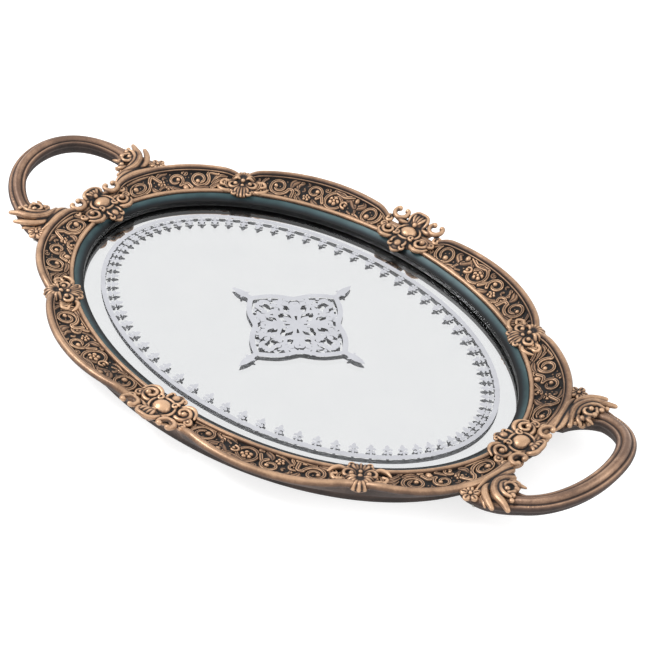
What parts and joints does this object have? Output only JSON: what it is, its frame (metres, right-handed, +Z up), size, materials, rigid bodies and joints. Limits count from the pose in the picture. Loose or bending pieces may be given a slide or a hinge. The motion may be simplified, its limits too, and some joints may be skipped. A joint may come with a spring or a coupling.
{
  "type": "serving tray",
  "caption": "Oval mirror-floored serving tray with a lobed cast scrollwork rim, raised ornaments and two fixed loop handles.",
  "frame": {"origin": "on the table under the middle of the oval", "axes": "+X towards the right handle along the long axis, +Y across to the back, +Z up out of the mirror floor"},
  "size_m": [0.4924, 0.2932, 0.042],
  "materials": {
    "cast_copper": "antiqued copper-brown patina, dark in the recesses and rubbed bright on the ridges",
    "cast_ornament": "antiqued copper-brown patina, rubbed brighter than the rim",
    "dark_cove": "blue-black patina, satin",
    "mirror_glass": "clear polished float glass",
    "silvering": "silver coat with grey backing paint",
    "frosting": "matt frosted pattern on the glass",
    "packing_paper": "plain card",
    "backing_board": "hardboard",
    "felt": "black felt",
    "steel": "zinc plated"
  },
  "bodies": {
    "root": {"rim_frame": "cast_copper", "cove_liner": "dark_cove", "mirror_glass": "mirror_glass", "mirror_silvering": "silvering", "frosted_border": "frosting", "frosted_medallion": "frosting", "packing_sheet": "packing_paper", "backing_board": "backing_board", "felt_pad": "felt", "handle_left": "cast_copper", "handle_right": "cast_copper", "leaf_spray_right_back": "cast_ornament", "leaf_spray_right_front": "cast_ornament", "leaf_spray_left_back": "cast_ornament", "leaf_spray_left_front": "cast_ornament", "shell_right_back": "cast_ornament", "shell_right_front": "cast_ornament", "shell_left_back": "cast_ornament", "shell_left_front": "cast_ornament", "outer_rosette_right_back": "cast_ornament", "outer_rosette_right_front": "cast_ornament", "outer_rosette_left_back": "cast_ornament", "outer_rosette_left_front": "cast_ornament", "inner_rosette_right_back": "cast_ornament", "inner_rosette_right_front": "cast_ornament", "inner_rosette_left_back": "cast_ornament", "inner_rosette_left_front": "cast_ornament", "cartouche_right": "cast_ornament", "cartouche_left": "cast_ornament", "cartouche_back": "cast_ornament", "cartouche_front": "cast_ornament", "handle_studs": "steel", "ornament_pins": "steel", "backing_screws": "steel"}
  },
  "joints": []
}
